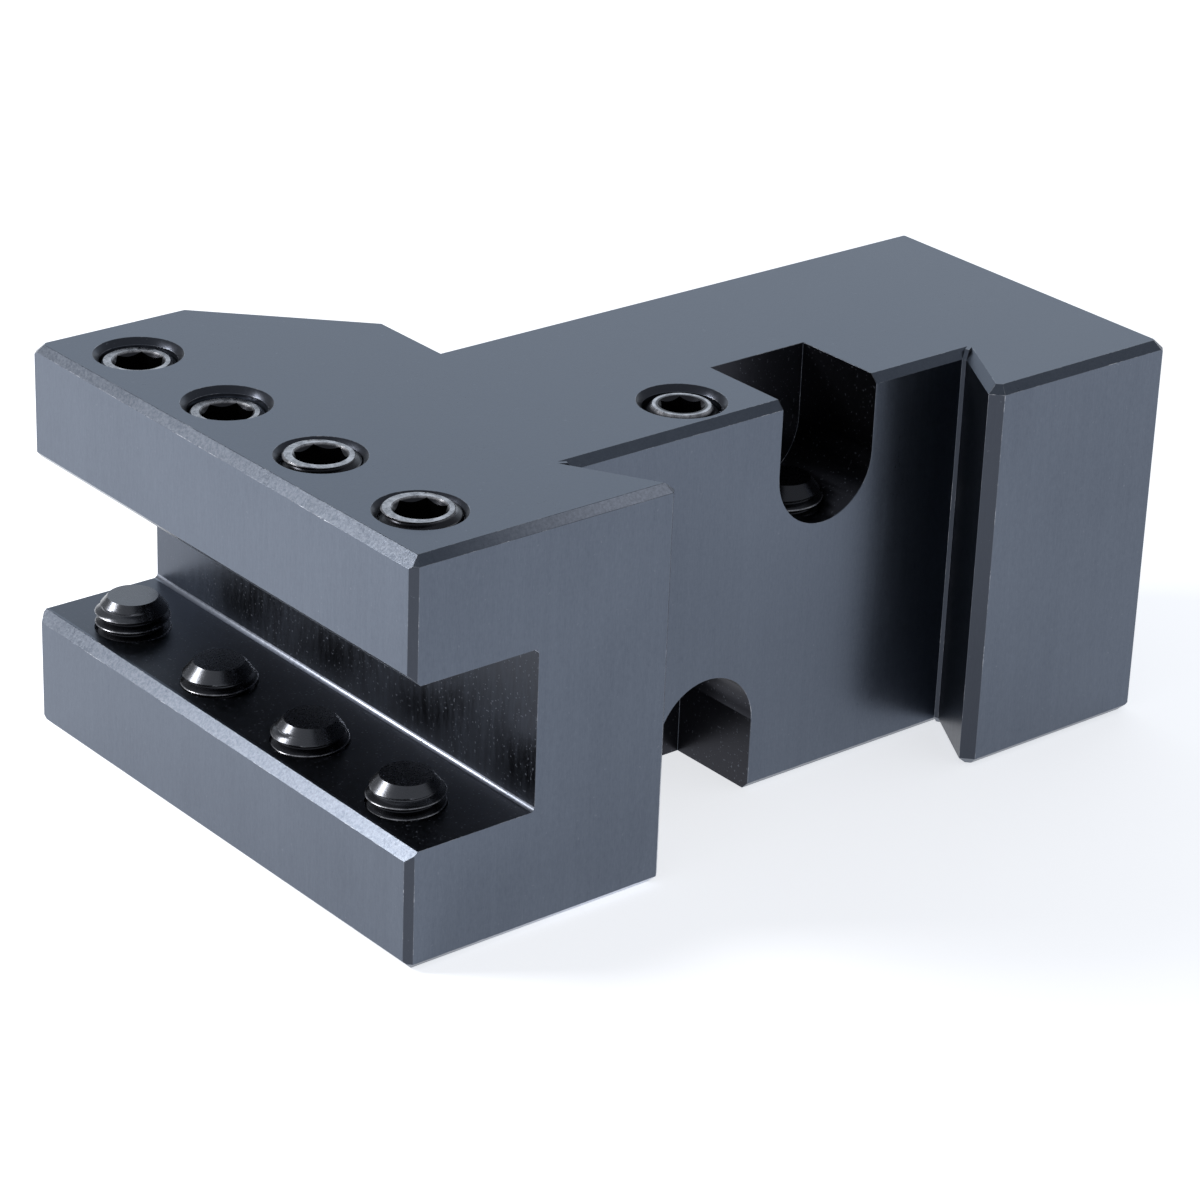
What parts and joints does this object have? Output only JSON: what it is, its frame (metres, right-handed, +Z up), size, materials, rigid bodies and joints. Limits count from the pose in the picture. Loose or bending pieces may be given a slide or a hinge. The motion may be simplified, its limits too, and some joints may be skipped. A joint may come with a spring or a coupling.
{
  "type": "quick-change tool holder",
  "caption": "Black steel tool holder with an open-sided tool slot, clamp screws in both jaws and a dovetail channel that hangs on a lathe's quick-change tool post.",
  "frame": {"origin": "middle of the footprint, on the base plane", "axes": "+Z up, the way the upper screws' sockets face. -X is the side where the tool slot opens, +X runs along the arm. -Y is the dovetail side that meets the post."},
  "size_m": [0.148, 0.0984, 0.0654],
  "materials": {
    "body": "ground and black-oxidised, satin, with brighter bevels",
    "screws": "black-oxidised alloy steel with an oily sheen"
  },
  "bodies": {
    "holder_body": {"holder_body": "body"},
    "upper_clamp_screw_1": {"upper_clamp_screw_1": "screws"},
    "upper_clamp_screw_2": {"upper_clamp_screw_2": "screws"},
    "upper_clamp_screw_3": {"upper_clamp_screw_3": "screws"},
    "upper_clamp_screw_4": {"upper_clamp_screw_4": "screws"},
    "lower_clamp_screw_1": {"lower_clamp_screw_1": "screws"},
    "lower_clamp_screw_2": {"lower_clamp_screw_2": "screws"},
    "lower_clamp_screw_3": {"lower_clamp_screw_3": "screws"},
    "lower_clamp_screw_4": {"lower_clamp_screw_4": "screws"},
    "upper_height_screw": {"upper_height_screw": "screws"},
    "lower_height_screw": {"lower_height_screw": "screws"}
  },
  "joints": [
    {"name": "upper_clamp_feed_1", "type": "slide", "parent": "holder_body", "child": "upper_clamp_screw_1", "axis": [0, 0, -1], "range_m": [-0.00175, 0.00875]},
    {"name": "upper_clamp_feed_2", "type": "slide", "parent": "holder_body", "child": "upper_clamp_screw_2", "axis": [0, 0, -1], "range_m": [-0.00175, 0.00875]},
    {"name": "upper_clamp_feed_3", "type": "slide", "parent": "holder_body", "child": "upper_clamp_screw_3", "axis": [0, 0, -1], "range_m": [-0.00175, 0.00875]},
    {"name": "upper_clamp_feed_4", "type": "slide", "parent": "holder_body", "child": "upper_clamp_screw_4", "axis": [0, 0, -1], "range_m": [-0.00175, 0.00875]},
    {"name": "lower_clamp_feed_1", "type": "slide", "parent": "holder_body", "child": "lower_clamp_screw_1", "axis": [0, 0, 1], "range_m": [-0.00175, 0.007]},
    {"name": "lower_clamp_feed_2", "type": "slide", "parent": "holder_body", "child": "lower_clamp_screw_2", "axis": [0, 0, 1], "range_m": [-0.00175, 0.007]},
    {"name": "lower_clamp_feed_3", "type": "slide", "parent": "holder_body", "child": "lower_clamp_screw_3", "axis": [0, 0, 1], "range_m": [-0.00175, 0.007]},
    {"name": "lower_clamp_feed_4", "type": "slide", "parent": "holder_body", "child": "lower_clamp_screw_4", "axis": [0, 0, 1], "range_m": [-0.00175, 0.007]},
    {"name": "upper_height_feed", "type": "slide", "parent": "holder_body", "child": "upper_height_screw", "axis": [0, 0, -1], "range_m": [-0.00175, 0.01225]},
    {"name": "lower_height_feed", "type": "slide", "parent": "holder_body", "child": "lower_height_screw", "axis": [0, 0, 1], "range_m": [-0.00175, 0.01225]}
  ]
}
